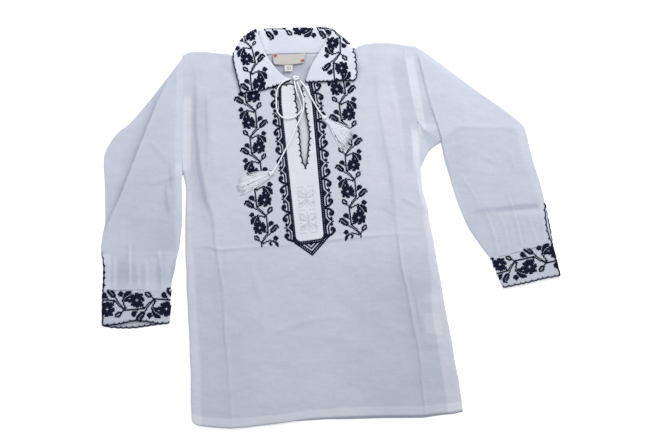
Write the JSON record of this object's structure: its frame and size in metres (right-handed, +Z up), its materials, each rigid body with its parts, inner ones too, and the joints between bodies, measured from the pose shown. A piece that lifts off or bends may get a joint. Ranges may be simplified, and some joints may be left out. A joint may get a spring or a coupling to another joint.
{
  "type": "child's romanian ie shirt",
  "caption": "Child's long-sleeved cotton ie shirt laid flat, with turned collar, front slit, tasselled tie, underarm gussets and banded scalloped cuffs.",
  "frame": {"origin": "middle of the shirt's outline, on the floor it lies on", "axes": "+X towards the sleeve on the right of the laid-out shirt, +Y towards the collar, +Z up out of the floor"},
  "size_m": [0.6856, 0.6074, 0.0098],
  "materials": {
    "cotton_body": "light plain-weave cotton, pressed",
    "cotton_back": "light plain-weave cotton, inner side in shade",
    "cotton_sleeve": "light plain-weave cotton, pressed",
    "cotton_collar": "two cloths of plain cotton with dark cross stitch and a scalloped edge",
    "cotton_cuff": "plain cotton band with dark cross stitch and a scalloped edge",
    "cotton_facing": "white cotton with white drawn-thread work",
    "cord_white": "twisted white cotton cord and threads",
    "label_cream": "cream woven tape"
  },
  "bodies": {
    "root": {"back_panel": "cotton_back", "front_panel": "cotton_body", "front_facing": "cotton_facing", "sleeve_left": "cotton_sleeve", "sleeve_right": "cotton_sleeve", "gusset_left": "cotton_sleeve", "gusset_right": "cotton_sleeve", "cuff_left": "cotton_cuff", "cuff_right": "cotton_cuff", "collar_leaf": "cotton_collar", "collar_stand": "cotton_collar", "collar_stand_left": "cotton_collar", "collar_stand_right": "cotton_collar", "neck_label": "label_cream", "size_label": "label_cream", "care_label": "label_cream", "tie_knot": "cord_white", "tie_loop": "cord_white", "tie_end_left": "cord_white", "tie_end_right": "cord_white", "tassel_left": "cord_white", "tassel_right": "cord_white"}
  },
  "joints": []
}
